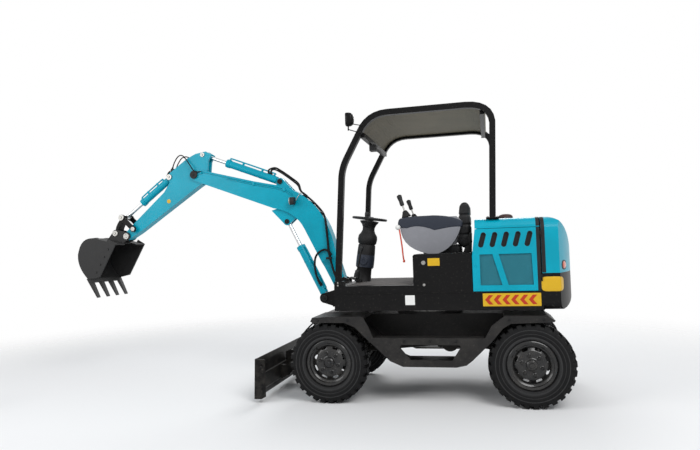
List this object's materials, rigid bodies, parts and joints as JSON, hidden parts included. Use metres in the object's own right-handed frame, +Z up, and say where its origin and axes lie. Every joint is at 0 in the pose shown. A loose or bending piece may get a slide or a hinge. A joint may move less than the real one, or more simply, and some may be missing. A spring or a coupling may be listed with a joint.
{
  "type": "wheeled excavator",
  "caption": "Compact rubber-tyred excavator with open canopy, slewing upper body, banana boom, arm, digging bucket, front blade, steered axle and working cylinder linkages.",
  "frame": {"origin": "ground level, at the middle of the machine's length and width", "axes": "+X forward towards the bucket, +Y to the operator's left, +Z up"},
  "size_m": [5.4444, 1.5625, 2.833],
  "materials": {
    "teal_paint": "gloss paint",
    "black_paint": "satin paint",
    "tyre": "matte rubber",
    "rim_black": "satin paint",
    "chrome_rod": "polished",
    "steel": "machined",
    "dark_plastic": "fine texture",
    "grey_plastic": "satin",
    "seat_cover": "grained",
    "khaki_roof": "matte paint",
    "cast_iron": "rough"
  },
  "bodies": {
    "chassis": {"chassis_frame": "black_paint", "side_frames": "black_paint", "slew_ring": "steel", "front_axle": "black_paint", "rear_axle": "black_paint"},
    "knuckle_left": {"knuckle_left": "black_paint"},
    "knuckle_right": {"knuckle_right": "black_paint"},
    "tie_rod": {"tie_rod": "black_paint"},
    "wheel_front_left": {"tyre_front_left": "tyre", "rim_front_left": "rim_black"},
    "wheel_front_right": {"tyre_front_right": "tyre", "rim_front_right": "rim_black"},
    "wheel_rear_left": {"tyre_rear_left": "tyre", "rim_rear_left": "rim_black"},
    "wheel_rear_right": {"tyre_rear_right": "tyre", "rim_rear_right": "rim_black"},
    "blade": {"blade": "black_paint"},
    "blade_barrel": {"blade_barrel": "black_paint"},
    "blade_rod": {"blade_rod": "chrome_rod"},
    "upper_body": {"upper_frame": "black_paint", "boom_bracket": "black_paint", "counterweight": "black_paint", "rear_hood": "teal_paint", "engine_bay": "black_paint", "engine_cover": "teal_paint", "side_panel": "teal_paint", "engine_block": "cast_iron", "exhaust_cap": "black_paint", "side_boxes": "black_paint", "seat": "seat_cover", "consoles": "grey_plastic", "controls": "dark_plastic", "canopy_frame": "black_paint", "canopy_roof": "khaki_roof", "side_mirror": "dark_plastic", "work_lamp": "dark_plastic"},
    "engine_door": {"engine_door": "teal_paint"},
    "steering_wheel": {"steering_wheel": "dark_plastic"},
    "boom": {"boom": "teal_paint", "boom_lamp": "dark_plastic"},
    "boom_barrel": {"boom_barrel": "teal_paint"},
    "boom_rod": {"boom_rod": "chrome_rod"},
    "arm": {"arm": "teal_paint"},
    "arm_barrel": {"arm_barrel": "teal_paint"},
    "arm_rod": {"arm_rod": "chrome_rod"},
    "bucket_barrel": {"bucket_barrel": "teal_paint"},
    "bucket_rod": {"bucket_rod": "chrome_rod"},
    "guide_links": {"guide_links": "black_paint"},
    "bucket_link": {"bucket_link": "black_paint"},
    "bucket": {"bucket": "black_paint"}
  },
  "joints": [
    {"name": "rear_wheel_left", "type": "hinge", "parent": "chassis", "child": "wheel_rear_left", "pos_m": [-2.295, 0.6275, 0.3875], "axis": [0, 1, 0], "continuous": true},
    {"name": "rear_wheel_right", "type": "hinge", "parent": "chassis", "child": "wheel_rear_right", "pos_m": [-2.295, -0.6275, 0.3875], "axis": [0, 1, 0], "continuous": true},
    {"name": "steer_left", "type": "hinge", "parent": "chassis", "child": "knuckle_left", "pos_m": [-0.395, 0.52, 0.3875], "axis": [0, 0, 1], "range_deg": [-30, 30]},
    {"name": "steer_right", "type": "hinge", "parent": "chassis", "child": "knuckle_right", "pos_m": [-0.395, -0.52, 0.3875], "axis": [0, 0, 1], "range_deg": [-30, 30]},
    {"name": "front_wheel_left", "type": "hinge", "parent": "knuckle_left", "child": "wheel_front_left", "pos_m": [-0.395, 0.6275, 0.3875], "axis": [0, 1, 0], "continuous": true},
    {"name": "front_wheel_right", "type": "hinge", "parent": "knuckle_right", "child": "wheel_front_right", "pos_m": [-0.395, -0.6275, 0.3875], "axis": [0, 1, 0], "continuous": true},
    {"name": "tie_rod_slide", "type": "slide", "parent": "chassis", "child": "tie_rod", "axis": [0, 1, 0], "range_m": [-0.085, 0.085]},
    {"name": "blade_lift", "type": "hinge", "parent": "chassis", "child": "blade", "pos_m": [-0.19, 0, 0.47], "axis": [0, 1, 0], "range_deg": [-25, 8]},
    {"name": "blade_barrel_pivot", "type": "hinge", "parent": "chassis", "child": "blade_barrel", "pos_m": [-0.162, 0, 0.722], "axis": [0, 1, 0], "range_deg": [-19, 6]},
    {"name": "blade_rod_slide", "type": "slide", "parent": "blade_barrel", "child": "blade_rod", "axis": [0.7208, 0, -0.6932], "range_m": [-0.095, 0.032]},
    {"name": "slew", "type": "hinge", "parent": "chassis", "child": "upper_body", "pos_m": [-1.33, 0, 0.866], "axis": [0, 0, 1], "continuous": true},
    {"name": "engine_door_hinge", "type": "hinge", "parent": "upper_body", "child": "engine_door", "pos_m": [-2.412, 0.707, 1.06], "axis": [0, 0, 1], "range_deg": [0, 75]},
    {"name": "steering_wheel_turn", "type": "hinge", "parent": "upper_body", "child": "steering_wheel", "pos_m": [-0.7085, 0, 1.7955], "axis": [-0.1392, 0, 0.9903], "continuous": true},
    {"name": "boom_lift", "type": "hinge", "parent": "upper_body", "child": "boom", "pos_m": [-0.388, 0, 1.08], "axis": [0, 1, 0], "range_deg": [-20, 60]},
    {"name": "boom_barrel_pivot", "type": "hinge", "parent": "upper_body", "child": "boom_barrel", "pos_m": [-0.202, 0, 0.967], "axis": [0, 1, 0], "range_deg": [-22, 65]},
    {"name": "boom_rod_slide", "type": "slide", "parent": "boom_barrel", "child": "boom_rod", "axis": [0.4438, 0, 0.8961], "range_m": [-0.216, 0.073]},
    {"name": "arm_swing", "type": "hinge", "parent": "boom", "child": "arm", "pos_m": [1.324, 0, 2.402], "axis": [0, -1, 0], "range_deg": [-75, 20]},
    {"name": "arm_barrel_pivot", "type": "hinge", "parent": "boom", "child": "arm_barrel", "pos_m": [0.289, 0, 2.269], "axis": [0, 1, 0], "range_deg": [-2, 6.5]},
    {"name": "arm_rod_slide", "type": "slide", "parent": "arm_barrel", "child": "arm_rod", "axis": [0.9325, 0, 0.3612], "range_m": [-0.073, 0.27]},
    {"name": "bucket_curl", "type": "hinge", "parent": "arm", "child": "bucket", "pos_m": [2.2238, 0, 1.72343], "axis": [0, 1, 0], "range_deg": [-30, 120]},
    {"name": "guide_links_pivot", "type": "hinge", "parent": "arm", "child": "guide_links", "pos_m": [2.11601, 0, 1.80472], "axis": [0, 1, 0], "range_deg": [-17, 67]},
    {"name": "bucket_link_pivot", "type": "hinge", "parent": "guide_links", "child": "bucket_link", "pos_m": [2.26501, 0, 1.94472], "axis": [0, 1, 0], "range_deg": [-6.5, 2]},
    {"name": "bucket_barrel_pivot", "type": "hinge", "parent": "arm", "child": "bucket_barrel", "pos_m": [1.65258, 0, 2.39593], "axis": [0, 1, 0], "range_deg": [-2.5, 9]},
    {"name": "bucket_rod_slide", "type": "slide", "parent": "bucket_barrel", "child": "bucket_rod", "axis": [0.8051, 0, -0.5932], "range_m": [-0.049, 0.194]}
  ],
  "couplings": [
    {"joint": "steer_right", "follows": "steer_left", "ratio": 1},
    {"joint": "tie_rod_slide", "follows": "steer_left", "m_per_rad": -0.16},
    {"joint": "boom_barrel_pivot", "follows": "boom_lift", "ratio": 1.07},
    {"joint": "boom_rod_slide", "follows": "boom_lift", "m_per_rad": -0.205},
    {"joint": "arm_barrel_pivot", "follows": "arm_swing", "ratio": -0.08},
    {"joint": "arm_rod_slide", "follows": "arm_swing", "m_per_rad": -0.205},
    {"joint": "guide_links_pivot", "follows": "bucket_curl", "ratio": 0.55},
    {"joint": "bucket_link_pivot", "follows": "bucket_curl", "ratio": -0.05},
    {"joint": "bucket_barrel_pivot", "follows": "bucket_curl", "ratio": 0.07},
    {"joint": "bucket_rod_slide", "follows": "bucket_curl", "m_per_rad": 0.092},
    {"joint": "blade_barrel_pivot", "follows": "blade_lift", "ratio": 0.72},
    {"joint": "blade_rod_slide", "follows": "blade_lift", "m_per_rad": 0.215}
  ]
}
